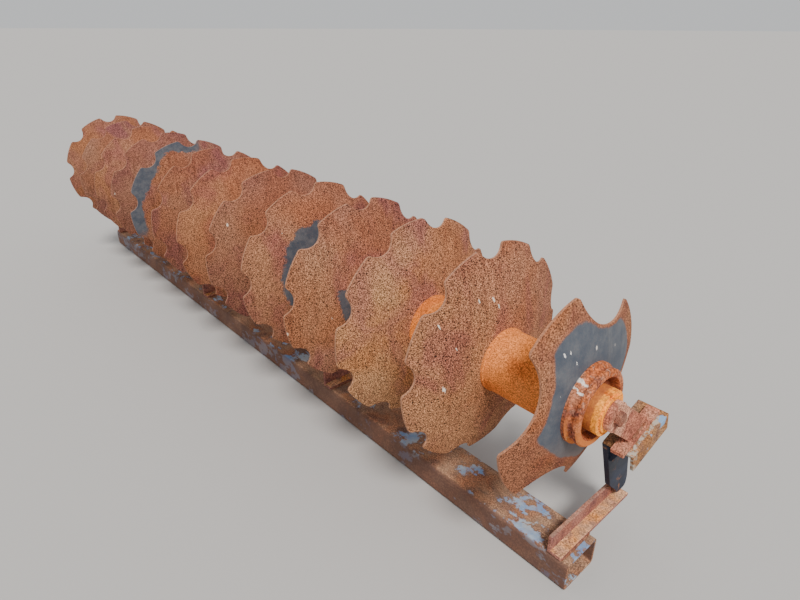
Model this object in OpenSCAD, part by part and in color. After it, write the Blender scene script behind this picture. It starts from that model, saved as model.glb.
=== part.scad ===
// Disc harrow gang, turned over on its beam: notched discs on one shaft.
// Millimetres. X runs along the gang to the end with the scalloped disc, Z is up.
// The origin is on the ground under the middle of the gang beam.

/* [Gang] */
// distance from one disc to the next along the shaft
disc_pitch = 285; // [240:5:320]
// number of large notched discs
disc_count = 12; // [4:1:14]
// height of the shaft's centre line above the ground
axis_height = 575; // [520:5:640]
// diameter of the gang shaft
shaft_d = 50; // [40:1:60]

/* [Notched discs] */
// diameter of a large disc over its lobes
disc_d = 660; // [560:10:720]
// thickness of the disc steel
disc_t = 6; // [4:0.5:8]
// radius of the sphere that the discs are dished to
dish_r = 860; // [700:10:1000]
// number of notches in the rim
notch_count = 9; // [7:1:12]
// radius of one notch
notch_r = 52; // [40:1:70]
// depth of one notch from the rim
notch_depth = 33; // [20:1:45]
// radius that rounds the corners of the lobes
lobe_corner_r = 16; // [6:1:24]
// angle of the first notch of the disc next to the end disc
notch_phase = 13; // [0:1:40]

/* [End disc] */
// diameter of the end disc over its lobes
end_disc_d = 580; // [480:10:660]
// number of deep scallops in the end disc
scallop_count = 4; // [3:1:6]
// radius of one scallop
scallop_r = 153; // [90:1:170]
// depth of one scallop from the rim
scallop_depth = 90; // [60:1:120]
// radius that rounds the corners between scallop and rim
scallop_corner_r = 14; // [6:1:20]
// angle of the first scallop
scallop_phase = 72; // [0:1:90]

/* [Spools] */
// diameter of the bead around each end of a spool
spool_d = 192; // [140:1:210]
// diameter of a spool's barrel
barrel_d = 186; // [130:1:200]
// length of the bead
bead_l = 6; // [3:1:12]
// diameter of the short collars beside a bearing in mid gang
bearing_collar_d = 130; // [100:1:150]
// length of such a collar
bearing_collar_l = 52; // [40:1:80]

/* [End bell] */
// diameter of the bell's rim on the end disc
bell_d = 224; // [200:1:260]
// diameter of the bell's lip
bell_lip_d = 212; // [190:1:240]
// inside diameter of the bell's mouth
bell_mouth_d = 174; // [160:1:190]
// inside diameter of the bell's floor
bell_floor_d = 150; // [140:1:160]
// how far the lip stands off the end disc's middle
bell_height = 34; // [26:1:50]
// depth of the bell's rim, with the part that the dished disc cuts away
bell_rim_t = 12; // [6:1:20]
// radius of the groove between rim and lip
bell_groove_r = 11; // [6:1:13]
// how far the middle of the groove stands off the end disc's middle
bell_groove_h = 13; // [11:1:18]
// bevel on the lip's outer edge
bell_bevel = 4; // [1:1:8]

/* [Gang beam] */
// width of the beam
beam_w = 150; // [120:5:180]
// depth of the beam
beam_h = 100; // [80:5:120]
// wall of the beam
beam_wall = 8; // [5:1:12]
// outer corner radius of the beam
beam_corner_r = 14; // [10:1:24]
// how far the near cross angle's upright face passes the rim of the end disc
near_over = 60; // [50:5:80]
// how far the far cross angle's upright face passes the rim of the last disc
far_over = 140; // [120:5:180]
// how far each end of the beam passes the upright face of the last cross angle
beam_past = 58; // [40:1:70]

/* [Cross angles] */
// leg of the cross angle that lies on the beam and points outwards
angle_leg = 46; // [38:1:56]
// leg of the cross angle that stands up
angle_up = 61; // [50:1:72]
// thickness of the cross angle
angle_t = 11; // [8:1:14]
// distance that the cross angle reaches past the middle of the beam
angle_reach = 292; // [270:1:310]

/* [Hangers] */
// thickness of a hanger's plate
hanger_t = 16; // [10:1:25]
// distance that a hanger leans out between its foot and its top
hanger_lean = 16; // [6:1:24]
// height of a hanger's upright foot
hanger_foot = 36; // [30:1:50]
// height of the foot's lower edge above the cross angle's lying leg
hanger_lift = 14; // [6:1:20]
// distance that a hanger's foot reaches past the middle of the beam
hanger_reach = 300; // [280:1:330]
// width of a hanger at its knee
hanger_knee_w = 118; // [100:1:140]
// height of the knee above the foot's lower edge
hanger_knee = 74; // [60:1:90]
// width of the toe that the foot narrows to
hanger_toe_w = 60; // [48:1:80]
// radius of the toe's lower corners
hanger_corner_r = 16; // [8:1:22]
// distance from the shaft's centre line sideways to the middle of a hanger's top
hanger_side = 125; // [110:1:150]
// width of a hanger's top
hanger_top_w = 130; // [100:1:160]
// thickness of the rib under the pad plate
hanger_rib_t = 14; // [8:1:20]
// how far the rib stands out from the hanger's plate
hanger_rib_d = 40; // [20:1:50]
// height of the rib
hanger_rib_h = 120; // [80:5:160]

/* [Bearing brackets] */
// distance from the cross angle's outer face out to the bracket's plate
bracket_out = 59; // [54:1:70]
// thickness of the bracket's plate
bracket_t = 16; // [10:1:20]
// outer radius of the bracket's eye
eye_r = 41; // [36:1:52]
// width of the arm from the eye to the flange
arm_w = 76; // [60:1:80]
// distance from the shaft's centre line down to the middle of the flange's top
bracket_drop = 116; // [100:1:130]
// distance from the shaft's centre line sideways to the flange's middle
bracket_side = 145; // [125:1:160]
// angle that the flange rises towards its outer end
seat_tilt = 17; // [0:1:24]
// length of the bracket's flange
flange_l = 186; // [160:1:220]
// width of the bracket's flange along the gang
flange_w = 36; // [26:1:50]
// thickness of the flange
flange_t = 14; // [8:1:20]
// length of the pad plate
pad_l = 182; // [160:1:220]
// distance that the pad plate's middle lies beyond the flange's middle
pad_shift = 16; // [0:1:24]
// distance from the bracket's plate out to the pad plate's turned edge
pad_out = 45; // [38:1:55]
// height of the pad plate's turned edge
pad_lip = 60; // [40:1:80]
// thickness of the pad plate
pad_t = 10; // [6:1:14]

/* [Bearing housings] */
// outer diameter of a bearing housing
housing_d = 124; // [110:1:130]
// length of a bearing housing
housing_l = 46; // [36:1:50]
// diameter of the housing's shoulder against the bracket
housing_shoulder_d = 100; // [84:1:108]
// length of the shoulder
housing_shoulder_l = 6; // [3:1:12]

/* [Clearances] */
// gap between pieces that seat on each other
seat_gap = 0.2; // [0.1:0.05:0.3]
// radial clearance of the shaft in its bores
shaft_gap = 0.05; // [0.02:0.01:0.1]
// running clearance between what turns and what stands still
run_gap = 5; // [4:0.5:8]

/* [Hidden] */
$fn = 72;
eps = 1;
// corner circles stay this much clear of the rim and the bite that they round off
hair = 0.05;
ball_fn = 720;
turn_fn = 120;
disc_r = disc_d / 2;
end_disc_r = end_disc_d / 2;
// how deep a plate of radius r is dished
function dish_of(r) = dish_r - sqrt(pow(dish_r, 2) - pow(r, 2));
disc_dish = dish_of(disc_r);
end_dish = dish_of(end_disc_r);
bead_dish = dish_of(spool_d / 2);
shaft_hole_d = shaft_d + 2 * shaft_gap;
beam_l = disc_count * disc_pitch + near_over + far_over + 2 * beam_past;
beam_top = beam_h + seat_gap;
end_disc_x = beam_l / 2 - beam_past - near_over;
// lower edge of a hanger's foot
foot_z = beam_top + angle_t + hanger_lift;
// x of the bracket's plate at each end of the gang
end_station = beam_l / 2 - beam_past + bracket_out;
// bearings in mid gang stand this far past the rim of the disc before them
mid_offset = disc_dish + disc_t + bearing_collar_l + run_gap + housing_l;
// gaps between discs that hold a bearing, counted from the end disc
mid_gaps = [round(disc_count / 3), round(disc_count * 2 / 3)];
// how much further each disc is turned than the one next to the end disc
disc_turns = [0, 26, 38, 4, 31, 12, 22, 35, 8, 18, 29, 2];
// stations: [name, x of the bracket's plate, side it faces, shaft runs through]
STATIONS = [
    ["near", end_station, 1, false],
    ["mid_near", disc_x(mid_gaps[0]) + mid_offset, 1, true],
    ["mid_far", disc_x(mid_gaps[1]) + mid_offset, 1, true],
    ["far", -end_station, -1, false]
];

// x of the rim of disc i: 0 is the end disc, then the large ones in order
function disc_x(i) = end_disc_x - i * disc_pitch;

// x where a disc's hollow side crosses the shaft
function hollow_x(i) = disc_x(i) + (i == 0 ? end_dish : disc_dish);

// x of the centre of the ball that disc i is dished to
function ball_x(i) = hollow_x(i) - dish_r;

// angle of a triangle with sides a and b at it and side c across from it
function angle_at(a, b, c) = acos((a * a + b * b - c * c) / (2 * a * b));

// lays a shape drawn in the XY plane across the gang, its depth along X
module across(x, length) {
    translate([x, 0, 0])
        rotate([90, 0, 90])
            linear_extrude(height = length)
                children();
}

// a round bar along the gang, from x to x + length, on the shaft's centre line
module on_axis(x, length, d) {
    translate([x, 0, axis_height])
        rotate([0, 90, 0])
            cylinder(h = length, d = d);
}

// a revolved piece along the gang, drawn as radius and distance from x onwards
module turned(x) {
    translate([x, 0, axis_height])
        rotate([0, 90, 0])
            rotate_extrude($fn = turn_fn)
                children();
}

// section through the ball of disc i, for a piece that is drawn from x onwards
module ball_section(i, r, x) {
    translate([0, ball_x(i) - x])
        circle(r = r, $fn = ball_fn);
}

// what is cut off where rim and bite meet, so that a corner circle is left
module corner_cut(r, bite, bite_r, corner_r) {
    rim_angle = angle_at(r - corner_r, bite[0], bite_r + corner_r);
    tip_angle = angle_at(r, bite[0], bite_r);
    middle = (r - corner_r) * [cos(rim_angle), sin(rim_angle)];
    tip = r * [cos(tip_angle), sin(tip_angle)];
    difference() {
        polygon([
            middle,
            middle * (r + eps) / (r - corner_r),
            bite + (tip - bite) * (bite_r - eps) / bite_r,
            bite + (middle - bite) * (bite_r - eps) / (bite_r + corner_r)
        ]);
        translate(middle)
            circle(r = corner_r - hair);
    }
}

// outline of a disc: a round plate with round bites out of its rim
module bitten_disc(r, bites, bite_r, depth, corner_r, phase) {
    bite = [r - depth + bite_r, 0];
    difference() {
        circle(r = r);
        for (b = [0 : bites - 1])
            rotate(phase + b * 360 / bites) {
                translate(bite)
                    circle(r = bite_r);
                corner_cut(r, bite, bite_r, corner_r);
                mirror([0, 1, 0])
                    corner_cut(r, bite, bite_r, corner_r);
            }
    }
}

// a dished plate cut to the outline that is given, its rim at disc i
module dished(i, r, dish) {
    intersection() {
        translate([0, 0, axis_height])
            across(disc_x(i) - eps, dish + disc_t + 2 * eps)
                children();
        turned(disc_x(i))
            difference() {
                intersection() {
                    translate([shaft_hole_d / 2, -eps])
                        square([r, dish + disc_t + 2 * eps]);
                    ball_section(i, dish_r + disc_t, disc_x(i));
                }
                ball_section(i, dish_r, disc_x(i));
            }
    }
}

module notched_disc(i) {
    turn = notch_phase + disc_turns[(i - 1) % len(disc_turns)];
    dished(i, disc_r, disc_dish)
        bitten_disc(disc_r, notch_count, notch_r, notch_depth, lobe_corner_r, turn);
}

module notched_discs() {
    color("sienna")
        for (i = [1 : disc_count])
            notched_disc(i);
}

module end_disc() {
    color("chocolate")
        dished(0, end_disc_r, end_dish)
            bitten_disc(end_disc_r, scallop_count, scallop_r, scallop_depth, scallop_corner_r, scallop_phase);
}

// profile of a spool, drawn along Y with its radius along X; the beads end at first and last
module spool_profile(length, first, last) {
    polygon([
        [shaft_hole_d / 2, 0],
        [spool_d / 2, 0],
        [spool_d / 2, first],
        [barrel_d / 2, first + bead_l / 2],
        [barrel_d / 2, last - bead_l / 2],
        [spool_d / 2, last],
        [spool_d / 2, length],
        [shaft_hole_d / 2, length]
    ]);
}

// spool between disc i, on the far side, and the disc before it
module spool(i) {
    from = hollow_x(i);
    length = hollow_x(i - 1) - from;
    turned(from)
        difference() {
            intersection() {
                spool_profile(length, disc_t - bead_dish + bead_l, length - bead_dish - bead_l);
                ball_section(i - 1, dish_r - seat_gap, from);
            }
            ball_section(i, dish_r + disc_t + seat_gap, from);
        }
}

// the collars on either side of a bearing in mid gang
module bearing_collars(i, station) {
    hole_r = shaft_hole_d / 2;
    from = hollow_x(i);
    inner = station - housing_l - run_gap;
    outer = station + bracket_t + run_gap;
    turned(from)
        difference() {
            translate([hole_r, 0])
                square([bearing_collar_d / 2 - hole_r, inner - from]);
            ball_section(i, dish_r + disc_t + seat_gap, from);
        }
    turned(outer)
        intersection() {
            translate([hole_r, 0])
                square([barrel_d / 2 - hole_r, hollow_x(i - 1) - outer]);
            ball_section(i - 1, dish_r - seat_gap, outer);
        }
}

// spool between the last disc's hollow side and the far bearing
module far_spool() {
    from = -end_station + housing_l + run_gap;
    length = hollow_x(disc_count) - from;
    turned(from)
        intersection() {
            spool_profile(length, bead_l, length - bead_dish - bead_l);
            ball_section(disc_count, dish_r - seat_gap, from);
        }
}

module spools() {
    color("darkorange") {
        for (i = [1 : disc_count])
            if (len(search(i, mid_gaps)) == 0)
                spool(i);
        for (m = [0 : len(mid_gaps) - 1])
            bearing_collars(mid_gaps[m], STATIONS[m + 1][1]);
        far_spool();
    }
}

// grooved bell that clamps the end disc and shrouds the near bearing
module end_bell() {
    middle = hollow_x(0) + disc_t;
    hole_r = shaft_hole_d / 2;
    rim_r = bell_d / 2;
    lip_r = bell_lip_d / 2;
    floor_h = end_station - housing_l - run_gap - middle;
    color("peru")
        turned(middle)
            difference() {
                polygon([
                    [hole_r, -bell_rim_t],
                    [rim_r, -bell_rim_t],
                    [rim_r, bell_groove_h],
                    [lip_r, bell_groove_h],
                    [lip_r, bell_height - bell_bevel],
                    [lip_r - bell_bevel, bell_height],
                    [bell_mouth_d / 2, bell_height],
                    [bell_floor_d / 2, floor_h],
                    [hole_r, floor_h]
                ]);
                ball_section(0, dish_r + disc_t + seat_gap, middle);
                translate([rim_r, bell_groove_h])
                    circle(r = bell_groove_r);
            }
}

module gang_shaft() {
    color("saddlebrown")
        on_axis(-end_station + run_gap, 2 * (end_station - run_gap), shaft_d);
}

// a rectangle with round corners, made of bars and corner circles
module rounded_box(w, h, r) {
    translate([0, r])
        square([w, h - 2 * r]);
    translate([r, 0])
        square([w - 2 * r, h]);
    for (x = [r, w - r], y = [r, h - r])
        translate([x, y])
            circle(r = r);
}

module gang_beam() {
    inner_r = beam_corner_r - beam_wall;
    color("steelblue")
        across(-beam_l / 2, beam_l)
            translate([-beam_w / 2, 0])
                difference() {
                    rounded_box(beam_w, beam_h, beam_corner_r);
                    translate([beam_wall, beam_wall])
                        rounded_box(beam_w - 2 * beam_wall, beam_h - 2 * beam_wall, inner_r);
                }
}

// puts what is drawn for a station facing +X at its x, turned for the far end
module at_station(s) {
    translate([s[1], 0, 0])
        mirror([s[2] < 0 ? 1 : 0, 0, 0])
            children();
}

// puts what is drawn from the middle of the flange's top on that tilted seat
module on_seat() {
    translate([0, bracket_side, axis_height - bracket_drop])
        rotate([seat_tilt, 0, 0])
            children();
}

// an angle across the beam that reaches out to one side under the hanger
module cross_angle(s) {
    color("rosybrown")
        at_station(s)
            translate([-bracket_out - angle_t, -beam_w / 2, beam_top]) {
                cube([angle_leg, beam_w / 2 + angle_reach, angle_t]);
                cube([angle_t, beam_w / 2 + angle_reach, angle_up]);
            }
}

// side view of a hanger's plate: an upright foot, then a lean outwards
module hanger_profile() {
    top = axis_height - bracket_drop;
    polygon([
        [0, foot_z],
        [hanger_t, foot_z],
        [hanger_t, foot_z + hanger_foot],
        [hanger_t + hanger_lean, top],
        [hanger_lean, top],
        [0, foot_z + hanger_foot]
    ]);
}

// face of a hanger: a toe with round corners, a knee, then a slant to the top
module hanger_face() {
    toe = hanger_reach - hanger_toe_w;
    top = axis_height - bracket_drop;
    polygon([
        [toe, foot_z + hanger_corner_r],
        [hanger_reach, foot_z + hanger_corner_r],
        [hanger_reach, foot_z + hanger_foot],
        [hanger_side + hanger_top_w / 2, top],
        [hanger_side - hanger_top_w / 2, top],
        [hanger_reach - hanger_knee_w, foot_z + hanger_knee]
    ]);
    translate([toe + hanger_corner_r, foot_z])
        square([hanger_toe_w - 2 * hanger_corner_r, 2 * hanger_corner_r]);
    for (y = [toe + hanger_corner_r, hanger_reach - hanger_corner_r])
        translate([y, foot_z + hanger_corner_r])
            circle(r = hanger_corner_r);
}

// rib that holds up the pad plate where it stands out past the hanger
module hanger_rib() {
    top = axis_height - bracket_drop;
    translate([0, hanger_side + hanger_rib_t / 2, 0])
        rotate([90, 0, 0])
            linear_extrude(height = hanger_rib_t)
                polygon([
                    [hanger_lean, top - hanger_rib_h],
                    [hanger_lean + hanger_t, top - hanger_rib_h],
                    [hanger_lean + hanger_t + hanger_rib_d, top - hanger_rib_h / 3],
                    [hanger_lean + hanger_t + hanger_rib_d, top],
                    [hanger_lean, top]
                ]);
}

module hanger(s) {
    under = flange_t + pad_t + 2 * seat_gap;
    color("midnightblue")
        at_station(s)
            difference() {
                translate([seat_gap - bracket_out, 0, 0]) {
                    intersection() {
                        rotate([90, 0, 0])
                            translate([0, 0, -hanger_reach])
                                linear_extrude(height = 2 * hanger_reach)
                                    hanger_profile();
                        across(-eps, hanger_lean + hanger_t + 2 * eps)
                            hanger_face();
                    }
                    hanger_rib();
                }
                on_seat()
                    translate([-2 * bracket_out, -hanger_reach, -under])
                        cube([4 * bracket_out, 2 * hanger_reach, bracket_drop]);
            }
}

// crosswise plate on top of the hanger, its outer edge turned down
module pad_plate(s) {
    from = hanger_lean - bracket_out;
    color("lightsteelblue")
        at_station(s)
            on_seat()
                translate([0, pad_shift - pad_l / 2, -flange_t - seat_gap]) {
                    translate([from, 0, -pad_t])
                        cube([pad_out - from, pad_l, pad_t]);
                    translate([pad_out - pad_t, 0, -pad_lip])
                        cube([pad_t, pad_l, pad_lip]);
                }
}

// face of the bracket: an eye on the shaft's line and an arm down to the flange
module bracket_face() {
    arm_l = norm([bracket_side, bracket_drop]);
    circle(r = eye_r);
    intersection() {
        rotate(-atan2(bracket_drop, bracket_side))
            translate([0, -arm_w / 2])
                square([arm_l + arm_w, arm_w]);
        translate([bracket_side, -bracket_drop])
            rotate(seat_tilt)
                translate([-arm_l - arm_w, -flange_t / 2])
                    square(2 * (arm_l + arm_w));
    }
}

module bearing_bracket(s) {
    color("indianred")
        at_station(s) {
            difference() {
                translate([0, 0, axis_height])
                    across(0, bracket_t)
                        bracket_face();
                if (s[3])
                    on_axis(-eps, bracket_t + 2 * eps, shaft_d + run_gap);
            }
            on_seat()
                translate([(bracket_t - flange_w) / 2, -flange_l / 2, -flange_t])
                    cube([flange_w, flange_l, flange_t]);
        }
}

// ring that holds the shaft's bearing, seated on the bracket's eye
module bearing_housing(s) {
    color("orange")
        at_station(s)
            translate([-housing_l - seat_gap, 0, 0])
                difference() {
                    union() {
                        on_axis(0, housing_l - housing_shoulder_l, housing_d);
                        on_axis(0, housing_l, housing_shoulder_d);
                    }
                    on_axis(-eps, housing_l + 2 * eps, shaft_hole_d);
                }
}

gang_beam();
cross_angle(STATIONS[0]);  // cross_angle_near
cross_angle(STATIONS[1]);  // cross_angle_mid_near
cross_angle(STATIONS[2]);  // cross_angle_mid_far
cross_angle(STATIONS[3]);  // cross_angle_far
hanger(STATIONS[0]);  // hanger_near
hanger(STATIONS[1]);  // hanger_mid_near
hanger(STATIONS[2]);  // hanger_mid_far
hanger(STATIONS[3]);  // hanger_far
pad_plate(STATIONS[0]);  // pad_plate_near
pad_plate(STATIONS[1]);  // pad_plate_mid_near
pad_plate(STATIONS[2]);  // pad_plate_mid_far
pad_plate(STATIONS[3]);  // pad_plate_far
bearing_bracket(STATIONS[0]);  // bearing_bracket_near
bearing_bracket(STATIONS[1]);  // bearing_bracket_mid_near
bearing_bracket(STATIONS[2]);  // bearing_bracket_mid_far
bearing_bracket(STATIONS[3]);  // bearing_bracket_far
bearing_housing(STATIONS[0]);  // bearing_housing_near
bearing_housing(STATIONS[1]);  // bearing_housing_mid_near
bearing_housing(STATIONS[2]);  // bearing_housing_mid_far
bearing_housing(STATIONS[3]);  // bearing_housing_far
gang_shaft();
notched_discs();
end_disc();
spools();
end_bell();
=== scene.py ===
"""Looks of a rusty disc harrow gang that stands turned over on its beam.

Metres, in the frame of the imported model: X runs along the gang to the scalloped
end disc, Z is up, and the ground is at Z = 0.
"""
import math
import random

import bmesh
import bpy
from mathutils import Matrix, Vector


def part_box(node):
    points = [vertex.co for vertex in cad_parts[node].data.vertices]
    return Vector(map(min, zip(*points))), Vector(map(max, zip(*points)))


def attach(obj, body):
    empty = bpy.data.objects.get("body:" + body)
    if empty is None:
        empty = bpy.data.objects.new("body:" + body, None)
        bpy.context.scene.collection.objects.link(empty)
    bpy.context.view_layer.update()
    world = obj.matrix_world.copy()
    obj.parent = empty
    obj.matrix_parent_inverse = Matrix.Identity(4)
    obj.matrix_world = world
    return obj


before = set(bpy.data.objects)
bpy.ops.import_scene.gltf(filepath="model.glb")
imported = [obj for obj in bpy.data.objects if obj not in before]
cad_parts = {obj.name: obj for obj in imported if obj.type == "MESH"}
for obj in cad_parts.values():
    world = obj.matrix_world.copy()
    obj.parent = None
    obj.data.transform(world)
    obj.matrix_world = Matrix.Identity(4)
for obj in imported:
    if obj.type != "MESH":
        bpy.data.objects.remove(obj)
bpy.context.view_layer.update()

# measures of the gang, as the source has them
SHAFT_Z = 0.575
DISC_PITCH = 0.285
END_DISC_X = 1.750
END_DISC_R = 0.290
SCALLOP_R = 0.153
SCALLOP_DEPTH = 0.090
SCALLOP_PHASE = 72  # degrees
BELL_MOUTH_R = 0.087
BEAM_W = 0.150
BEAM_TOP = 0.1002
TOE_OUT = 0.035  # reach of a cross angle's lying leg
ANGLE_T = 0.011
ANGLE_TOP = 0.1612
HANGER_FOOT_Z = 0.1252
HANGER_TOE_Y = (0.246, 0.290)
PAD_STRIP_X = 1.899  # line beside the near bracket's flange
BRACKET_OUT = 0.059  # from a cross angle's face to the bracket's plate
BRACKET_T = 0.016
BRACKET_SIDE = 0.145
SEAT_Z = 0.459
SEAT_TILT = 17  # degrees
STATION_NAMES = ["near", "mid_near", "mid_far", "far"]


# shader node helpers

def plug(tree, socket, value):
    """Links a socket, or sets a plain value."""
    if isinstance(value, bpy.types.NodeSocket):
        tree.links.new(value, socket)
    else:
        socket.default_value = value


def add_node(tree, kind, inputs=None, **settings):
    """One shader node; inputs are values or sockets, by name or number."""
    made = tree.nodes.new(kind)
    for key, value in settings.items():
        setattr(made, key, value)
    for key, value in (inputs or {}).items():
        plug(tree, made.inputs[key], value)
    return made


def calc(tree, operation, *values, clamp=False):
    """One step of arithmetic."""
    made = add_node(tree, "ShaderNodeMath", dict(enumerate(values)), operation=operation)
    made.use_clamp = clamp
    return made.outputs[0]


def product(tree, *values):
    total = values[0]
    for value in values[1:]:
        total = calc(tree, "MULTIPLY", total, value)
    return total


def largest(tree, values):
    total = values[0]
    for value in values[1:]:
        total = calc(tree, "MAXIMUM", total, value)
    return total


def plus(tree, value, more, share):
    """A value plus a share of another."""
    return calc(tree, "ADD", value, calc(tree, "MULTIPLY", more, share))


def less(tree, value):
    """1 minus a value."""
    return calc(tree, "SUBTRACT", 1.0, value)


def ramp(tree, value, low, high):
    """0 at low, 1 at high, smooth between; low may be the larger."""
    inputs = {"Value": value, "From Min": low, "From Max": high}
    return add_node(tree, "ShaderNodeMapRange", inputs, interpolation_type="SMOOTHSTEP").outputs[0]


def mix(tree, share, first, second, blend="MIX"):
    made = tree.nodes.new("ShaderNodeMix")
    made.data_type = "RGBA"
    made.blend_type = blend
    for name, value in (("Factor_Float", share), ("A_Color", first), ("B_Color", second)):
        plug(tree, next(s for s in made.inputs if s.identifier == name), value)
    return next(s for s in made.outputs if s.identifier == "Result_Color")


def tinted(tree, share, colour, tone):
    """A colour, multiplied by a tone to the given share."""
    return mix(tree, share, colour, mix(tree, 1.0, colour, tone, "MULTIPLY"))


def noise(tree, where, scale, detail=4.0, rough=0.55, distortion=0.0):
    """Cloudy noise from 0 to 1; scale is in clouds a metre."""
    return add_node(tree, "ShaderNodeTexNoise", {
        "Vector": where, "Scale": scale, "Detail": detail, "Roughness": rough,
        "Distortion": distortion}).outputs[0]


def ripple(tree, where, scale, amount, detail, rough=0.55):
    """Noise that swings about zero."""
    wave = calc(tree, "SUBTRACT", noise(tree, where, scale, detail, rough), 0.5)
    return calc(tree, "MULTIPLY", wave, amount)


def stretched(tree, where, x, y, z):
    """The place with each axis scaled, to draw streaks."""
    return add_node(tree, "ShaderNodeVectorMath", {0: where, 1: (x, y, z)},
                    operation="MULTIPLY").outputs[0]


def distance(tree, first, second):
    return add_node(tree, "ShaderNodeVectorMath", {0: first, 1: second},
                    operation="DISTANCE").outputs["Value"]


def split(tree, vector):
    """The X, Y and Z of a vector."""
    return add_node(tree, "ShaderNodeSeparateXYZ", {"Vector": vector}).outputs


def new_group(name, inputs, outputs):
    """A shader node group; inputs are (name, kind, value), outputs are (name, kind)."""
    tree = bpy.data.node_groups.new(name, "ShaderNodeTree")
    kinds = {"number": "NodeSocketFloat", "vector": "NodeSocketVector",
             "colour": "NodeSocketColor"}
    for label, kind, value in inputs:
        socket = tree.interface.new_socket(label, in_out="INPUT", socket_type=kinds[kind])
        if value is not None:
            socket.default_value = value
    for label, kind in outputs:
        tree.interface.new_socket(label, in_out="OUTPUT", socket_type=kinds[kind])
    given = tree.nodes.new("NodeGroupInput").outputs
    return tree, given, tree.nodes.new("NodeGroupOutput").inputs


def use_group(tree, group, **inputs):
    """Places a group with the material's own values."""
    made = tree.nodes.new("ShaderNodeGroup")
    made.node_tree = group
    for key, value in inputs.items():
        plug(tree, made.inputs[key], value)
    return made.outputs


# effects that several materials share

def rust_grain_group():
    """Crusted rust: dark pits and light crumbs over soft blotches of three hues."""
    tree, given, result = new_group("rust_grain", [
        ("Where", "vector", None), ("Grain", "number", 240.0), ("Blotch", "number", 6.0),
        ("Contrast", "number", 1.0), ("Tan", "colour", (0.4, 0.2, 0.12, 1)),
        ("Orange", "colour", (0.4, 0.16, 0.07, 1)), ("Violet", "colour", (0.26, 0.11, 0.08, 1))],
        [("Colour", "colour"), ("Relief", "number"), ("Dullness", "number")])
    where, blotch, contrast = given["Where"], given["Blotch"], given["Contrast"]
    fine = noise(tree, where, given["Grain"], detail=1.5, rough=0.6)
    coarse = noise(tree, where, calc(tree, "MULTIPLY", given["Grain"], 0.37), detail=2.0, rough=0.6)
    broad = noise(tree, where, blotch, detail=2.5, rough=0.5, distortion=0.4)
    other = noise(tree, stretched(tree, where, 1.3, 1.9, 1.5), blotch, detail=3.0, rough=0.5,
                  distortion=0.6)
    hue = mix(tree, ramp(tree, broad, 0.38, 0.62), given["Tan"], given["Orange"])
    hue = mix(tree, ramp(tree, other, 0.45, 0.68), hue, given["Violet"])
    grain = plus(tree, calc(tree, "MULTIPLY", fine, 0.9), coarse, 0.1)
    pits = product(tree, ramp(tree, grain, 0.50, 0.36), contrast, 0.54)
    crumbs = product(tree, ramp(tree, grain, 0.50, 0.63), contrast, 0.80)
    light = calc(tree, "ADD", less(tree, pits), crumbs)
    colour = add_node(tree, "ShaderNodeVectorMath", {0: hue, "Scale": light}, operation="SCALE")
    dullness = calc(tree, "ADD", 0.74, calc(tree, "MULTIPLY", broad, 0.24), clamp=True)
    tree.links.new(colour.outputs[0], result["Colour"])
    tree.links.new(grain, result["Relief"])
    tree.links.new(dullness, result["Dullness"])
    return tree


def pale_specks_group():
    """A few ragged pale specks and short scratches."""
    tree, given, result = new_group("pale_specks", [
        ("Where", "vector", None), ("Spacing", "number", 20.0), ("Size", "number", 0.12),
        ("Share", "number", 0.10)], [("Mask", "number")])
    long_way = stretched(tree, given["Where"], 1.0, 1.0, 0.55)
    cells = add_node(tree, "ShaderNodeTexVoronoi", {"Vector": long_way, "Scale": given["Spacing"]})
    lot = add_node(tree, "ShaderNodeSeparateColor", {"Color": cells.outputs["Color"]}).outputs[0]
    chosen = calc(tree, "LESS_THAN", lot, given["Share"])
    ragged = plus(tree, cells.outputs["Distance"], noise(tree, given["Where"], 260.0), 0.12)
    spot = ramp(tree, ragged, calc(tree, "ADD", given["Size"], 0.05), given["Size"])
    tree.links.new(calc(tree, "MULTIPLY", spot, chosen), result["Mask"])
    return tree


def paint_left_group():
    """Where old paint still holds: ragged islands, and the rim where it lifts."""
    tree, given, result = new_group("paint_left", [
        ("Where", "vector", None), ("Size", "number", 12.0), ("Loss", "number", 0.5)],
        [("Mask", "number"), ("Rim", "number")])
    where, size, loss = given["Where"], given["Size"], given["Loss"]
    islands = noise(tree, where, size, detail=10.0, rough=0.7, distortion=0.2)
    scratches = noise(tree, stretched(tree, where, 0.35, 1.0, 1.0),
                      calc(tree, "MULTIPLY", size, 7.0), detail=4.0, rough=0.6)
    both = plus(tree, calc(tree, "MULTIPLY", islands, 0.78), scratches, 0.22)
    mask = ramp(tree, both, loss, calc(tree, "ADD", loss, 0.03))
    wide = ramp(tree, both, calc(tree, "SUBTRACT", loss, 0.045), loss)
    tree.links.new(mask, result["Mask"])
    tree.links.new(calc(tree, "SUBTRACT", wide, mask, clamp=True), result["Rim"])
    return tree


def ground_dust_group():
    """Pale dust that settles on faces that look up."""
    tree, given, result = new_group("ground_dust", [
        ("Where", "vector", None), ("Facing", "vector", None), ("Amount", "number", 0.5)],
        [("Mask", "number")])
    patch = ramp(tree, noise(tree, given["Where"], 13.0, detail=9.0, rough=0.72), 0.38, 0.66)
    lying = ramp(tree, split(tree, given["Facing"])["Z"], 0.35, 0.95)
    tree.links.new(product(tree, patch, lying, given["Amount"]), result["Mask"])
    return tree


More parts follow.
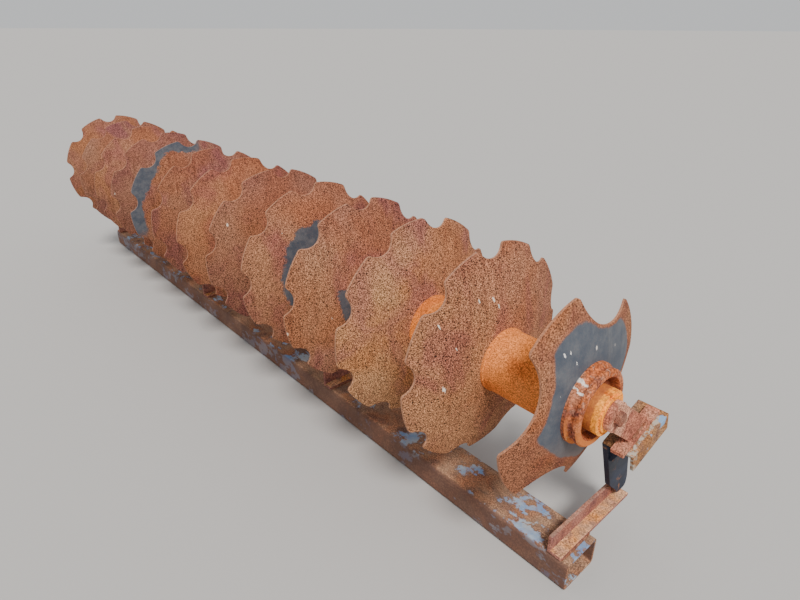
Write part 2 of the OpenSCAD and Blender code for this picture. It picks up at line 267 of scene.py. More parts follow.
def round_the_shaft_group():
    """Radius and angle about the shaft's line, both with a ragged edge."""
    tree, given, result = new_group("round_the_shaft", [
        ("Where", "vector", None), ("Ragged", "number", 0.02)],
        [("Radius", "number"), ("Angle", "number")])
    parts = split(tree, given["Where"])
    height = calc(tree, "SUBTRACT", parts["Z"], SHAFT_Z)
    wave = plus(tree, calc(tree, "MULTIPLY", noise(tree, given["Where"], 6.0, detail=2.0), 0.7),
                noise(tree, given["Where"], 45.0, detail=5.0, rough=0.65), 0.3)
    wave = product(tree, calc(tree, "SUBTRACT", wave, 0.5), given["Ragged"], 4.0)
    squares = calc(tree, "ADD", product(tree, parts["Y"], parts["Y"]),
                   product(tree, height, height))
    tree.links.new(calc(tree, "ADD", calc(tree, "SQRT", squares), wave), result["Radius"])
    angle = calc(tree, "ARCTAN2", height, parts["Y"])
    tree.links.new(plus(tree, angle, wave, 3.0), result["Angle"])
    return tree


def drips_group():
    """Faint streaks that run down upright faces."""
    tree, given, result = new_group("drips", [
        ("Where", "vector", None), ("Width", "number", 60.0)], [("Mask", "number")])
    lines = noise(tree, stretched(tree, given["Where"], 1.0, 1.0, 0.06), given["Width"],
                  detail=4.0, rough=0.6)
    patches = noise(tree, given["Where"], 4.0, detail=3.0)
    mask = product(tree, ramp(tree, lines, 0.46, 0.66), ramp(tree, patches, 0.4, 0.62))
    tree.links.new(mask, result["Mask"])
    return tree


def placed_chip_group():
    """One ragged pale chip at a given place, longer than it is wide."""
    tree, given, result = new_group("placed_chip", [
        ("Where", "vector", None), ("Centre", "vector", None), ("Size", "number", 0.006),
        ("Depth", "number", 0.05)], [("Mask", "number")])
    apart = add_node(tree, "ShaderNodeVectorMath", {0: given["Where"], 1: given["Centre"]},
                     operation="SUBTRACT")
    parts = split(tree, apart.outputs[0])
    slant = plus(tree, parts["Y"], parts["Z"], 0.35)
    across = add_node(tree, "ShaderNodeCombineXYZ", {
        "Y": slant, "Z": calc(tree, "MULTIPLY", parts["Z"], 0.45)})
    reach = add_node(tree, "ShaderNodeVectorMath", {0: across.outputs[0]}, operation="LENGTH")
    edge = calc(tree, "ADD", reach.outputs["Value"],
                ripple(tree, given["Where"], 190.0, 0.012, detail=3.0))
    spot = ramp(tree, edge, given["Size"], calc(tree, "MULTIPLY", given["Size"], 0.6))
    on_it = calc(tree, "LESS_THAN", calc(tree, "ABSOLUTE", parts["X"]), given["Depth"])
    tree.links.new(calc(tree, "MULTIPLY", spot, on_it), result["Mask"])
    return tree


RUST_GRAIN = rust_grain_group()
PALE_SPECKS = pale_specks_group()
PAINT_LEFT = paint_left_group()
GROUND_DUST = ground_dust_group()
ROUND_THE_SHAFT = round_the_shaft_group()
DRIPS = drips_group()
PLACED_CHIP = placed_chip_group()


# tones

def rgb(red, green, blue):
    """A colour from the 0 to 255 numbers of a colour card."""
    return tuple(((v / 255 + 0.055) / 1.055) ** 2.4 if v > 10 else v / 3294
                 for v in (red, green, blue)) + (1,)


RUST_HUES = {
    # tan, orange and violet hue of the rust on each kind of piece
    "disc": (rgb(174, 126, 90), rgb(168, 112, 74), rgb(156, 102, 82)),
    "end_disc": (rgb(148, 100, 73), rgb(142, 85, 54), rgb(126, 78, 59)),
    "bell": (rgb(182, 118, 88), rgb(178, 98, 58), rgb(122, 70, 58)),
    "ring": (rgb(255, 168, 68), rgb(254, 156, 48), rgb(204, 104, 38)),
    "spool": (rgb(222, 132, 68), rgb(220, 126, 58), rgb(198, 108, 50)),
    "casting": (rgb(192, 138, 113), rgb(177, 110, 87), rgb(148, 88, 72)),
    "shaft": (rgb(142, 98, 74), rgb(132, 80, 56), rgb(92, 60, 48)),
    "angle_sides": (rgb(162, 110, 96), rgb(150, 96, 80), rgb(122, 80, 76)),
    "angle_top": (rgb(192, 144, 110), rgb(196, 130, 74), rgb(150, 104, 84)),
    "pad": (rgb(158, 119, 86), rgb(153, 104, 65), rgb(126, 90, 70)),
    "beam": (rgb(150, 114, 90), rgb(150, 100, 72), rgb(104, 76, 66)),
    "bolt": (rgb(146, 100, 82), rgb(134, 82, 64), rgb(106, 68, 58)),
    "weld": (rgb(140, 98, 78), rgb(132, 82, 60), rgb(96, 62, 52)),
}
DISC_STEEL = (rgb(64, 75, 86), rgb(90, 95, 101))
END_DISC_STEEL = (rgb(70, 82, 95), rgb(99, 105, 111))
BEAM_BLUE = (rgb(112, 142, 184), rgb(156, 172, 186))
# the hanger's dark blue paint, made darker still as painted shade
HANGER_BLUE_AND_SHADE = (rgb(24, 31, 48), rgb(38, 46, 64))

# rust's tone on each disc: red, green and blue, from the one beside the end disc to the last,
# fitted by a scratch script to the mean tone of each disc in the picture
DISC_SHADES = [
    (0.81, 0.77, 0.77), (0.92, 0.98, 0.98), (0.79, 0.78, 0.87), (0.79, 0.74, 0.79),
    (0.67, 0.62, 0.72), (0.84, 0.76, 0.76), (0.71, 0.68, 0.82), (0.74, 0.72, 0.84),
    (0.65, 0.61, 0.77), (0.86, 0.85, 0.90), (0.73, 0.74, 0.92), (0.84, 0.85, 0.92),
]


# places of single marks

# bands of mill skin: disc, middle angle, half spread, inner radius, outer radius
BARE_BANDS = [
    (3, 183, 27, 0.000, 0.152),
    (4, 160, 400, 0.000, 0.192),
    (8, 139, 62, 0.279, 0.345),
]
DISH_MIDDLE = 0.03  # middle of a disc's depth, from the disc's place in the row

# pale chips: x, y, z, size
DISC_CHIPS = [
    (1.514, -0.039, 0.768, 0.0040), (1.519, -0.022, 0.746, 0.0030),
    (1.510, -0.214, 0.558, 0.0058), (1.491, -0.222, 0.742, 0.0028),
    (1.508, -0.090, 0.776, 0.0026), (1.510, -0.176, 0.668, 0.0024),
]
END_DISC_CHIPS = [
    (1.782, -0.109, 0.746, 0.0030), (1.785, -0.088, 0.746, 0.0022),
    (1.793, -0.067, 0.712, 0.0020), (1.790, -0.120, 0.640, 0.0016),
    (1.786, -0.098, 0.670, 0.0020),
]
BELL_CHIPS = [
    (1.803, -0.061, 0.669, 0.0075), (1.817, -0.075, 0.643, 0.0034),
    (1.804, -0.078, 0.655, 0.0030),
]

# more or less rust beside each scallop, from the top one on
BORDER_MORE = (-0.018, 0.018, 0.010, -0.004)
# the low lobe is all rust from this far below the shaft, on the slant
LOW_LOBE_FROM = 0.180


# what the materials are made with

def new_material(name, tone, shine=0.12):
    """An empty material: its tree, its shader, the place on the piece and its facing."""
    material = bpy.data.materials.new(name)
    material.use_nodes = True
    material.diffuse_color = (*tone[:3], 1)
    tree = material.node_tree
    shader = tree.nodes["Principled BSDF"]
    shader.inputs["Roughness"].default_value = 0.85
    shader.inputs["Specular IOR Level"].default_value = shine
    coords = tree.nodes.new("ShaderNodeTexCoord").outputs
    return material, tree, shader, coords["Object"], coords["Normal"]


def finish_material(tree, shader, colour, roughness, relief, depth):
    """Gives a shader its colour, its roughness and a relief of some depth."""
    plug(tree, shader.inputs["Base Color"], colour)
    plug(tree, shader.inputs["Roughness"], roughness)
    bump = add_node(tree, "ShaderNodeBump", {"Height": relief, "Distance": depth, "Strength": 0.7})
    tree.links.new(bump.outputs[0], shader.inputs["Normal"])


def rust_of(tree, where, hues, grain=240.0, blotch=9.0, contrast=1.0):
    """Crusted rust in one of the sets of hues."""
    tan, orange, violet = RUST_HUES[hues]
    return use_group(tree, RUST_GRAIN, Where=where, Grain=grain, Blotch=blotch, Contrast=contrast,
                     Tan=tan, Orange=orange, Violet=violet)


def dusted(tree, where, facing, amount, colour, tone):
    """Dust of a tone over a colour, on faces that look up."""
    settled = use_group(tree, GROUND_DUST, Where=where, Facing=facing, Amount=amount)["Mask"]
    return mix(tree, settled, colour, tone)


def painted_edge_highlight(tree, facing):
    """Mask of a painted highlight: 1 on the cut edges of a disc, 0 on its faces."""
    return ramp(tree, calc(tree, "ABSOLUTE", split(tree, facing)["X"]), 0.6, 0.3)


def chips_at(tree, where, table, colour, tone):
    """Lays the chips of a table over a colour."""
    for x, y, z, size in table:
        mask = use_group(tree, PLACED_CHIP, Where=where, Centre=(x, y, z), Size=size,
                         Depth=size * 3)["Mask"]
        colour = mix(tree, product(tree, mask, 0.92), colour, tone)
    return colour


# materials of the turning gang

def shade_of_each_disc(tree, where):
    """The tone share of the disc that a point lies on."""
    count = len(DISC_SHADES)
    first = END_DISC_X - DISC_PITCH / 2 + DISH_MIDDLE
    share = calc(tree, "DIVIDE", calc(tree, "SUBTRACT", first, split(tree, where)["X"]),
                 DISC_PITCH * count)
    shades = add_node(tree, "ShaderNodeValToRGB", {"Fac": share})
    shades.color_ramp.interpolation = "CONSTANT"
    points = shades.color_ramp.elements
    for number, shade in enumerate(DISC_SHADES):
        point = points[number] if number < 2 else points.new(number / count)
        point.position = number / count
        point.color = (*shade, 1)
    return shades.outputs["Color"]


def bare_steel(tree, where):
    """Mask of the blue-grey bands where a disc has kept its mill skin."""
    x = split(tree, where)["X"]
    polar = use_group(tree, ROUND_THE_SHAFT, Where=where, Ragged=0.035)
    bands = []
    for disc, turn, spread, inner, outer in BARE_BANDS:
        off = calc(tree, "SUBTRACT", polar["Angle"], math.radians(turn))
        off = calc(tree, "ABSOLUTE", calc(tree, "WRAP", off, math.pi, -math.pi))
        along = ramp(tree, off, math.radians(spread), math.radians(spread * 0.88))
        ring = product(tree, ramp(tree, polar["Radius"], inner - 0.005, inner + 0.005),
                       ramp(tree, polar["Radius"], outer + 0.005, outer - 0.005))
        near = calc(tree, "COMPARE", x, END_DISC_X - disc * DISC_PITCH + DISH_MIDDLE, 0.06)
        bands.append(product(tree, along, ring, near))
    return largest(tree, bands)


def rusty_disc_material():
    """Notched discs: crusted rust in soft blotches, blue-grey bands, a painted highlight on the cut
    edges.
    """
    material, tree, shader, where, facing = new_material("rusty_disc", (0.36, 0.17, 0.10))
    parts = split(tree, where)
    crust = plus(tree, 1.4, ramp(tree, parts["X"], -0.2, 1.6), 0.35)
    rust = rust_of(tree, where, "disc", grain=320.0, blotch=3.6, contrast=crust)
    colour = mix(tree, 1.0, rust["Colour"], shade_of_each_disc(tree, where), "MULTIPLY")

    # darker low down on the far discs as painted shade, pinkish in the upper corner, darker to the
    # rim
    painted_shade_low = product(tree, ramp(tree, parts["Z"], 0.86, 0.42), ramp(tree, parts["X"], 1.2, 0.2), 0.6)
    colour = tinted(tree, painted_shade_low, colour, rgb(206, 196, 204))
    corner = plus(tree, calc(tree, "SUBTRACT", parts["Z"], SHAFT_Z), parts["Y"], 0.8)
    corner = plus(tree, corner, noise(tree, where, 5.0, detail=3.0), 0.3)
    pinkish = product(tree, ramp(tree, corner, 0.10, 0.38), 0.85)
    colour = tinted(tree, pinkish, colour, rgb(248, 238, 255))
    radius = use_group(tree, ROUND_THE_SHAFT, Where=where, Ragged=0.03)["Radius"]
    near_rim = product(tree, ramp(tree, radius, 0.25, 0.34), 0.4)
    colour = tinted(tree, near_rim, colour, rgb(206, 196, 206))
    drips = use_group(tree, DRIPS, Where=where, Width=70.0)["Mask"]
    colour = tinted(tree, product(tree, drips, 0.5), colour, rgb(170, 150, 150))

    bare = bare_steel(tree, where)
    mottle = ramp(tree, noise(tree, where, 34.0, detail=8.0, rough=0.7), 0.38, 0.64)
    colour = mix(tree, product(tree, bare, 0.93), colour, mix(tree, mottle, *DISC_STEEL))
    specks = use_group(tree, PALE_SPECKS, Where=where)["Mask"]
    colour = mix(tree, product(tree, specks, 0.85), colour, rgb(226, 208, 190))
    colour = chips_at(tree, where, DISC_CHIPS, colour, rgb(244, 232, 216))
    # painted highlight: a lighter tone on the cut edges, where light would catch them
    colour = mix(tree, product(tree, painted_edge_highlight(tree, facing), 0.4), colour, rgb(196, 146, 118))

    relief = product(tree, rust["Relief"], less(tree, product(tree, bare, 0.75)))
    roughness = calc(tree, "SUBTRACT", rust["Dullness"], product(tree, bare, 0.3))
    finish_material(tree, shader, colour, roughness, relief, 0.0016)
    return material


def scallop_border(tree, where):
    """How far a point is from the end disc's rim, scallops and low lobe, in metres."""
    flat = stretched(tree, where, 0.0, 1.0, 1.0)
    border = None
    bite_r = END_DISC_R - SCALLOP_DEPTH + SCALLOP_R
    for k, more in enumerate(BORDER_MORE):
        turn = math.radians(SCALLOP_PHASE + 90 * k)
        centre = (0.0, bite_r * math.cos(turn), SHAFT_Z + bite_r * math.sin(turn))
        reach = calc(tree, "SUBTRACT", distance(tree, flat, centre), SCALLOP_R + more)
        border = reach if border is None else calc(tree, "SMOOTH_MIN", border, reach, 0.04)
    radius = distance(tree, flat, (0.0, 0.0, SHAFT_Z))
    rim = calc(tree, "SUBTRACT", END_DISC_R - 0.030, radius)
    border = calc(tree, "SMOOTH_MIN", border, rim, 0.06)
    parts = split(tree, where)
    slant = calc(tree, "ADD", parts["Y"], calc(tree, "SUBTRACT", parts["Z"], SHAFT_Z))
    low_lobe = calc(tree, "ADD", calc(tree, "MULTIPLY", slant, 0.707), LOW_LOBE_FROM)
    return calc(tree, "SMOOTH_MIN", border, low_lobe, 0.03)


def end_disc_material():
    """End disc: blue-grey middle inside a border of rust along the rim and scallops."""
    material, tree, shader, where, facing = new_material("end_disc_rust", (0.33, 0.15, 0.09))
    parts = split(tree, where)
    rust = rust_of(tree, where, "end_disc", grain=270.0, blotch=6.0, contrast=1.3)
    border = calc(tree, "ADD", scallop_border(tree, where),
                  ripple(tree, where, 9.0, 0.035, detail=7.0, rough=0.6))
    bare = ramp(tree, border, 0.020, 0.028)
    halo = ramp(tree, border, 0.002, 0.022)
    low = ramp(tree, parts["Z"], 0.56, 0.38)
    mottle = ramp(tree, noise(tree, where, 16.0, detail=9.0, rough=0.72), 0.35, 0.7)
    steel = mix(tree, mottle, *END_DISC_STEEL)
    steel = mix(tree, product(tree, low, 0.6), steel, rgb(106, 90, 82))
    colour = mix(tree, product(tree, halo, 0.35), rust["Colour"], rgb(150, 96, 76))
    colour = mix(tree, product(tree, bare, 0.95), colour, steel)

    drips = use_group(tree, DRIPS, Where=where, Width=90.0)["Mask"]
    colour = tinted(tree, product(tree, drips, 0.3), colour, rgb(176, 160, 156))
    lobe = ramp(tree, calc(tree, "ADD", parts["Y"], parts["Z"]), 0.50, 0.28)
    colour = tinted(tree, product(tree, lobe, less(tree, bare), 0.8), colour, rgb(226, 214, 214))
    specks = use_group(tree, PALE_SPECKS, Where=where, Spacing=24.0, Share=0.1)["Mask"]
    colour = mix(tree, product(tree, specks, 0.9), colour, rgb(232, 224, 214))
    colour = chips_at(tree, where, END_DISC_CHIPS, colour, rgb(244, 240, 236))
    # painted highlight: a lighter tone on the cut edges, where light would catch them
    colour = mix(tree, product(tree, painted_edge_highlight(tree, facing), 0.45), colour, rgb(190, 138, 110))

    relief = product(tree, rust["Relief"], less(tree, product(tree, bare, 0.85)))
    roughness = calc(tree, "SUBTRACT", rust["Dullness"], product(tree, bare, 0.38))
    finish_material(tree, shader, colour, roughness, relief, 0.0014)
    return material


def bell_material():
    """End bell: flaky red-brown rust, an orange lip, pinkish patches on top and painted shade
    inside the mouth.
    """
    material, tree, shader, where, facing = new_material("bell_rust", (0.35, 0.16, 0.10))
    rust = rust_of(tree, where, "bell", grain=170.0, blotch=13.0, contrast=0.9)
    radius = use_group(tree, ROUND_THE_SHAFT, Where=where, Ragged=0.012)["Radius"]
    height = split(tree, where)["Z"]
    flakes = ramp(tree, noise(tree, where, 52.0, detail=8.0, rough=0.7, distortion=0.6), 0.54, 0.62)
    upper = ramp(tree, height, SHAFT_Z - 0.02, SHAFT_Z + 0.09)
    pinkish = product(tree, flakes, plus(tree, 0.15, upper, 0.6))
    colour = mix(tree, pinkish, rust["Colour"], rgb(204, 152, 128))
    lip = product(tree, ramp(tree, split(tree, facing)["X"], 0.4, 0.8),
                  ramp(tree, radius, BELL_MOUTH_R - 0.014, BELL_MOUTH_R - 0.004))
    low = ramp(tree, height, SHAFT_Z + 0.05, SHAFT_Z - 0.06)
    lip_tone = mix(tree, flakes, rgb(208, 122, 62), rgb(226, 158, 104))
    colour = mix(tree, product(tree, lip, low, 0.85), colour, lip_tone)
    # painted shade: darker inside the mouth
    painted_recess_shade = ramp(tree, radius, BELL_MOUTH_R + 0.001, BELL_MOUTH_R - 0.004)
    colour = mix(tree, product(tree, painted_recess_shade, 0.6), colour, rgb(124, 62, 40))
    colour = chips_at(tree, where, BELL_CHIPS, colour, rgb(240, 234, 226))
    relief = plus(tree, rust["Relief"], flakes, 0.5)
    finish_material(tree, shader, colour, rust["Dullness"], relief, 0.0022)
    return material


# materials of the frame, and plain ones

def plain_rust_material(name, hues, grain=240.0, blotch=9.0, contrast=1.0, dust=0.0, depth=0.0012):
    """Rust in three hues, with dust on top where asked."""
    material, tree, shader, where, facing = new_material(name, RUST_HUES[hues][0])
    rust = rust_of(tree, where, hues, grain, blotch, contrast)
    colour = rust["Colour"]
    if dust:
        colour = dusted(tree, where, facing, dust, colour, rgb(178, 152, 124))
    finish_material(tree, shader, colour, rust["Dullness"], rust["Relief"], depth)
    return material


def worn_paint_material(name, coats, loss, size, dust, painted_side_shade=0.0):
    """Paint that fades in patches and is lost in islands, with painted shade that darkens the -Y
    side.
    """
    material, tree, shader, where, facing = new_material(name, coats[0], shine=0.25)
    rust = rust_of(tree, where, "beam", grain=220.0, blotch=8.0)
    dark = RUST_HUES["beam"][2]
    left = use_group(tree, PAINT_LEFT, Where=where, Size=size, Loss=loss)
    fading = ramp(tree, noise(tree, where, 17.0, detail=9.0, rough=0.72), 0.38, 0.62)
    colour = mix(tree, product(tree, left["Rim"], 0.6), rust["Colour"], dark)
    colour = mix(tree, left["Mask"], colour, mix(tree, fading, *coats))
    colour = dusted(tree, where, facing, dust, colour, rgb(182, 156, 126))
    # painted shade: the -Y side darkened in patches towards the dark rust hue
    if painted_side_shade:
        side = ramp(tree, split(tree, facing)["Y"], -0.4, -0.9)
        patches = calc(tree, "MULTIPLY", noise(tree, where, 9.0, detail=5.0), 0.9)
        spread = calc(tree, "ADD", 0.55, patches, clamp=True)
        colour = mix(tree, product(tree, side, spread, painted_side_shade), colour, dark)
    bare_relief = product(tree, rust["Relief"], less(tree, product(tree, left["Mask"], 0.8)))
    relief = plus(tree, bare_relief, left["Mask"], 0.7)
    roughness = calc(tree, "SUBTRACT", rust["Dullness"], product(tree, left["Mask"], 0.32))
    finish_material(tree, shader, colour, roughness, relief, 0.0012)
    return material


def angle_material():
    """Cross angle: red-brown upright faces, orange-tan on the leg's top, pale dust."""
    material, tree, shader, where, facing = new_material("angle_rust", (0.40, 0.22, 0.14))
    sides = rust_of(tree, where, "angle_sides", grain=200.0, blotch=14.0, contrast=0.8)
    top = rust_of(tree, where, "angle_top", grain=230.0, blotch=15.0)
    leg_top = product(tree, ramp(tree, split(tree, facing)["Z"], 0.3, 0.8),
                      ramp(tree, split(tree, where)["Z"], ANGLE_TOP - 0.02, ANGLE_TOP - 0.03))
    streaks = use_group(tree, DRIPS, Where=where, Width=80.0)["Mask"]
    colour = mix(tree, product(tree, streaks, 0.4), sides["Colour"], rgb(112, 76, 66))
    colour = mix(tree, leg_top, colour, top["Colour"])
    colour = dusted(tree, where, facing, 0.3, colour, rgb(200, 172, 146))
    finish_material(tree, shader, colour, sides["Dullness"], sides["Relief"], 0.0016)
    return material


def pad_material():
    """Pad plate: tan rust, a strip of old pale paint by the flange, a light blue corner."""
    material, tree, shader, where, facing = new_material("pad_paint", (0.36, 0.23, 0.15), shine=0.2)
    rust = rust_of(tree, where, "pad", grain=230.0, blotch=12.0, contrast=0.9)
    parts = split(tree, where)
    wave = ripple(tree, where, 55.0, 0.03, detail=7.0, rough=0.7)
    x = calc(tree, "ADD", parts["X"], wave)
    y = calc(tree, "ADD", parts["Y"], wave)
    beside = calc(tree, "ABSOLUTE", calc(tree, "SUBTRACT", x, PAD_STRIP_X))
    long_strip = product(tree, ramp(tree, beside, 0.0065, 0.0045), ramp(tree, y, 0.236, 0.228))
    low_end = product(tree, ramp(tree, beside, 0.016, 0.013), ramp(tree, y, 0.104, 0.096))
    gaps = ramp(tree, noise(tree, where, 85.0, detail=5.0), 0.40, 0.56)
    strip = product(tree, calc(tree, "MAXIMUM", long_strip, low_end), gaps)
    corner = product(tree, ramp(tree, y, 0.208, 0.213), ramp(tree, y, 0.240, 0.235),
                     ramp(tree, x, PAD_STRIP_X + 0.001, PAD_STRIP_X + 0.004),
                     ramp(tree, parts["Z"], 0.445, 0.452))
    left = use_group(tree, PAINT_LEFT, Where=where, Size=15.0, Loss=0.585)["Mask"]
    colour = mix(tree, product(tree, strip, 0.8), rust["Colour"], rgb(186, 187, 177))
    colour = mix(tree, calc(tree, "MAXIMUM", corner, left), colour, rgb(136, 170, 206))
    colour = dusted(tree, where, facing, 0.15, colour, rgb(190, 164, 132))
    relief = plus(tree, rust["Relief"], calc(tree, "MAXIMUM", strip, corner), 0.6)
    finish_material(tree, shader, colour, rust["Dullness"], relief, 0.0012)
    return material


def ring_material():
    """Bearing housing: orange rust, and brown on the flank away from the bracket."""
    material, tree, shader, where, _ = new_material("ring_rust", RUST_HUES["ring"][1])
    rust = rust_of(tree, where, "ring", grain=190.0, blotch=18.0, contrast=0.6)
    along = calc(tree, "ADD", split(tree, where)["X"],
                 ripple(tree, where, 60.0, 0.014, detail=6.0, rough=0.7))
    flanks = []
    for name in STATION_NAMES:
        low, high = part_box("bearing_housing_" + name)
        length = high[0] - low[0]
        back = high[0] if name == "far" else low[0]
        apart = calc(tree, "ABSOLUTE", calc(tree, "SUBTRACT", along, back))
        flanks.append(ramp(tree, apart, 0.60 * length, 0.50 * length))
    flank = product(tree, largest(tree, flanks), 0.8)
    colour = mix(tree, flank, rust["Colour"], rgb(172, 98, 60))
    cracks = ramp(tree, noise(tree, where, 75.0, detail=5.0, rough=0.6, distortion=0.8), 0.60, 0.68)
    colour = mix(tree, product(tree, cracks, 0.5), colour, rgb(150, 84, 46))
    finish_material(tree, shader, colour, rust["Dullness"], rust["Relief"], 0.0012)
    return material


BOLT_RUST = plain_rust_material("bolt_rust", "bolt", grain=420.0, blotch=30.0)
WELD_RUST = plain_rust_material("weld_rust", "weld", grain=500.0, blotch=40.0)

# material and width of worn edges for each kind of node
FINISHES = {
    # beam: worn blue paint, with painted shade on the -Y side
    "gang_beam": (worn_paint_material("beam_paint", BEAM_BLUE, 0.535, 7.0, 0.3, painted_side_shade=0.8), 0.0015),
    "gang_shaft": (plain_rust_material("shaft_rust", "shaft"), 0),
    "notched_discs": (rusty_disc_material(), 0),
    "end_disc": (end_disc_material(), 0),
    "spools": (plain_rust_material("spool_rust", "spool", grain=270.0, blotch=7.0, contrast=0.8,
                                   depth=0.001), 0),
    "end_bell": (bell_material(), 0),
    "cross_angle": (angle_material(), 0.002),
    # hanger: dark blue paint, darkened as painted shade
    "hanger": (worn_paint_material("hanger_paint_and_shade", HANGER_BLUE_AND_SHADE, 0.40, 11.0, 0.1), 0.0015),
    "pad_plate": (pad_material(), 0.002),
    "bearing_bracket": (plain_rust_material("casting_rust", "casting", blotch=12.0, dust=0.12,
                                            depth=0.0014), 0.002),
    "bearing_housing": (ring_material(), 0),
}

for node_name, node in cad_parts.items():
    finish, edge = next(FINISHES[kind] for kind in FINISHES if node_name.startswith(kind))
    node.data.materials.clear()
    node.data.materials.append(finish)
    if edge:
        weld = node.modifiers.new("join_corners", "WELD")
        weld.merge_threshold = 0.00002
        soften = node.modifiers.new("worn_edges", "BEVEL")
        soften.width = edge
        soften.segments = 2
        soften.limit_method = "ANGLE"
        soften.angle_limit = math.radians(40)


# small pieces

BEAD_R = 0.005
BEAD_LIFT = 0.001  # how far the middle of a bead stands off the steel
BEAD_STEP = 0.003
BEAD_POINTS = 10
SEAT_BEAD_R = 0.0045
SEAT_BEAD_HALF = 0.034
HEEL_BEAD = 0.085  # length of the bead on top of a cross angle
BEAM_CORNER = 0.004  # beads stop this far inside the beam's sides
BOLT_ACROSS = 0.036
BOLT_HEAD = 0.013
BOLT_TURN = 0.2
HEAD_POINTS = 36
SEEDS_A_STATION = 9


def new_piece(name, body, draw, material):
    """A mesh piece that rides on a body."""
    bm = bmesh.new()
    draw(bm)
    bmesh.ops.recalc_face_normals(bm, faces=bm.faces)
    mesh = bpy.data.meshes.new(name)
    bm.to_mesh(mesh)
    bm.free()
    mesh.materials.append(material)
    piece = bpy.data.objects.new(name, mesh)
    bpy.context.scene.collection.objects.link(piece)
    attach(piece, body)


def loft(bm, rings):
    """Skins a row of rings that have the same number of points, and closes both ends."""
    made = [[bm.verts.new(p) for p in ring] for ring in rings]
    count = len(made[0])
    for lower, upper in zip(made, made[1:]):
        for i in range(count):
            j = (i + 1) % count
            bm.faces.new((lower[i], lower[j], upper[j], upper[i]))
    bm.faces.new(made[0])
    bm.faces.new(made[-1])


def turns(count):
    """Angles that share out a full turn."""
    return [2 * math.pi * k / count for k in range(count)]


def hex_bolt(bm, at, axis):
    """A hexagon head with worn corners."""
    facing = Vector(axis).normalized().to_track_quat("Z", "Y").to_matrix().to_4x4()
    place = Matrix.Translation(at) @ facing @ Matrix.Rotation(BOLT_TURN, 4, "Z")
    corner = BOLT_ACROSS / math.sqrt(3)
    # share of the corners that is left, and height
    profile = ((0.985, -0.001), (0.985, BOLT_HEAD * 0.8), (0.93, BOLT_HEAD * 0.96),
               (0.84, BOLT_HEAD))
    rings = []
    for reach, z in profile:
        ring = []
        for a in turns(HEAD_POINTS):
            flat = BOLT_ACROSS / 2 / math.cos((a % (math.pi / 3)) - math.pi / 6)
            radius = min(flat, corner * reach)
            ring.append(place @ Vector((radius * math.cos(a), radius * math.sin(a), z)))
        rings.append(ring)
    loft(bm, rings)


def weld_bead(bm, start, end, size, seed):
    """A ripply bead of weld from start to end."""
    rand = random.Random(seed)
    start, end = Vector(start), Vector(end)
    along = end - start
    steps = max(8, int(along.length / BEAD_STEP))
    facing = along.normalized().to_track_quat("Z", "Y").to_matrix()
    rings = []
    for s in range(steps + 1):
        share = s / steps
        taper = min(1.0, 6 * share + 0.35, 6 * (1 - share) + 0.35)
        radius = size * taper * (0.92 + 0.1 * math.sin(s * 1.7) + rand.uniform(-0.08, 0.08))
        middle = start + along * share
        rings.append([middle + facing @ Vector((radius * math.cos(a), radius * math.sin(a), 0))
                      for a in turns(BEAD_POINTS)])
    loft(bm, rings)


def seat_point(x, along, out):
    """A point on a bracket's tilted seat: x, up the slope, and out from the seat."""
    tilt = math.radians(SEAT_TILT)
    return (x, BRACKET_SIDE + along * math.cos(tilt) - out * math.sin(tilt),
            SEAT_Z + along * math.sin(tilt) + out * math.cos(tilt))


def station_welds(bm, middle_x, side, seed):
    """Beads of one bearing station: angle on beam, hanger on angle, bracket on its seat."""
    angle_face = middle_x - side * (BRACKET_T / 2 + BRACKET_OUT)
    outer_y = BEAM_W / 2 - BEAM_CORNER
    beam_z = BEAM_TOP + BEAD_LIFT
    for x in (angle_face + side * TOE_OUT, angle_face - side * (ANGLE_T + 0.0005)):
        weld_bead(bm, (x, -outer_y, beam_z), (x, outer_y, beam_z), BEAD_R, seed + 1)
    first, last = HANGER_TOE_Y
    foot_x = angle_face + side * BEAD_LIFT
    weld_bead(bm, (foot_x, first, HANGER_FOOT_Z), (foot_x, last, HANGER_FOOT_Z), BEAD_R, seed + 2)
    weld_bead(bm, (angle_face, last - HEEL_BEAD, ANGLE_TOP), (angle_face, last, ANGLE_TOP),
              BEAD_R, seed + 3)
    for s in (-1, 1):
        x = middle_x + s * (BRACKET_T / 2 + BEAD_LIFT)
        weld_bead(bm, seat_point(x, -SEAT_BEAD_HALF, BEAD_LIFT),
                  seat_point(x, SEAT_BEAD_HALF, BEAD_LIFT), SEAT_BEAD_R, seed + 4 + s)


for index, name in enumerate(STATION_NAMES):
    low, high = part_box("bearing_bracket_" + name)
    side = -1 if name == "far" else 1
    middle_x = (low[0] + high[0]) / 2
    bolt_at = (middle_x + side * BRACKET_T / 2, 0, SHAFT_Z)
    if not name.startswith("mid"):
        new_piece("end_bolt_" + name, "gang_frame",
                  lambda bm: hex_bolt(bm, bolt_at, (side, 0, 0)), BOLT_RUST)
    new_piece("welds_" + name, "gang_frame",
              lambda bm: station_welds(bm, middle_x, side, index * SEEDS_A_STATION),
              WELD_RUST)


# floor, light and camera

FLOOR_TONE = (0.48, 0.47, 0.46, 1)
FLOOR_Z = -0.0005
SKY_TONE = (0.97, 0.985, 1.0, 1)
SKY_POWER = 0.67
KEY_TOWARDS = (-0.55, 0.30, -0.80)
KEY_SPREAD = 14  # degrees
KEY_POWER = 3.6
KEY_TONE = (1.0, 0.965, 0.92)
# the camera that took the picture, solved from the disc rims; angles in radians, lens in mm
CAMERA_AT = (2.34927069, -1.12409192, 1.42062729)
CAMERA_YAW = 0.73079993
CAMERA_PITCH = 0.45229387
CAMERA_ROLL = 0.00416293
CAMERA_LENS = 25.283
CAMERA_SENSOR = 36.0


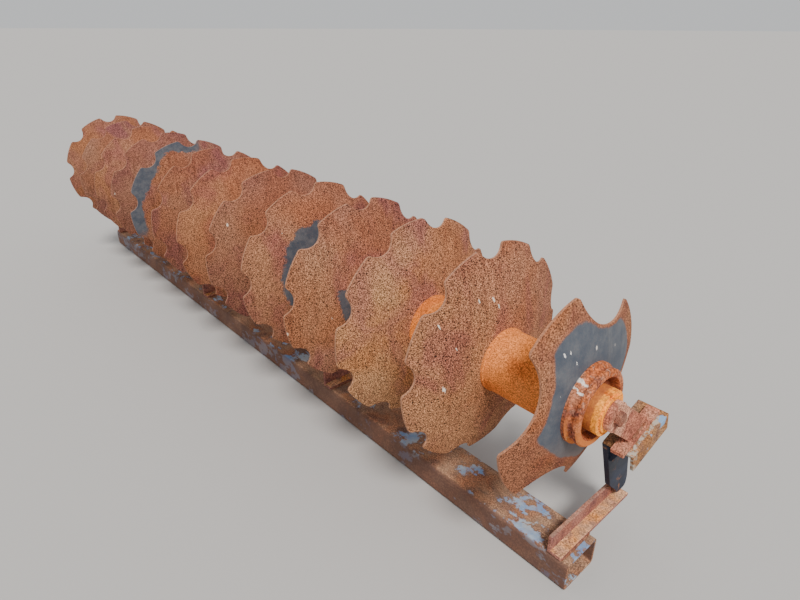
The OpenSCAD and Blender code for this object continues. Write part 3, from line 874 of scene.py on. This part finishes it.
def pale_floor():
    bm = bmesh.new()
    bmesh.ops.create_grid(bm, x_segments=2, y_segments=2, size=400)
    mesh = bpy.data.meshes.new("floor")
    bm.to_mesh(mesh)
    bm.free()
    floor = bpy.data.objects.new("floor", mesh)
    floor.location = (0, 0, FLOOR_Z)
    bpy.context.scene.collection.objects.link(floor)
    material = bpy.data.materials.new("pale_floor")
    material.use_nodes = True
    shader = material.node_tree.nodes["Principled BSDF"]
    shader.inputs["Base Color"].default_value = FLOOR_TONE
    shader.inputs["Roughness"].default_value = 1.0
    shader.inputs["Specular IOR Level"].default_value = 0.0
    mesh.materials.append(material)


def studio():
    """An even sky, and one far, broad lamp with soft shadows."""
    world = bpy.data.worlds.new("studio")
    world.use_nodes = True
    background = world.node_tree.nodes["Background"]
    background.inputs["Color"].default_value = SKY_TONE
    background.inputs["Strength"].default_value = SKY_POWER
    bpy.context.scene.world = world
    data = bpy.data.lights.new("key", "SUN")
    data.angle = math.radians(KEY_SPREAD)
    data.energy = KEY_POWER
    data.color = KEY_TONE
    lamp = bpy.data.objects.new("key", data)
    lamp.rotation_euler = Vector(KEY_TOWARDS).to_track_quat("-Z", "Y").to_euler()
    bpy.context.scene.collection.objects.link(lamp)


def photo_camera():
    """The camera at the picture's place, turned by yaw, then pitch, then roll."""
    data = bpy.data.cameras.new("photo_camera")
    data.sensor_width = CAMERA_SENSOR
    data.lens = CAMERA_LENS
    data.clip_end = 900
    camera = bpy.data.objects.new("photo_camera", data)
    forward = Vector((-math.cos(CAMERA_YAW), math.sin(CAMERA_YAW), 0))
    right = Vector((math.sin(CAMERA_YAW), math.cos(CAMERA_YAW), 0))
    look = forward * math.cos(CAMERA_PITCH) - Vector((0, 0, 1)) * math.sin(CAMERA_PITCH)
    above = right.cross(look)
    rolled_right = right * math.cos(CAMERA_ROLL) + above * math.sin(CAMERA_ROLL)
    rolled_above = above * math.cos(CAMERA_ROLL) - right * math.sin(CAMERA_ROLL)
    axes = Matrix((rolled_right, rolled_above, -look)).transposed()
    camera.matrix_world = Matrix.Translation(CAMERA_AT) @ axes.to_4x4()
    bpy.context.scene.collection.objects.link(camera)
    bpy.context.scene.camera = camera


pale_floor()
studio()
photo_camera()
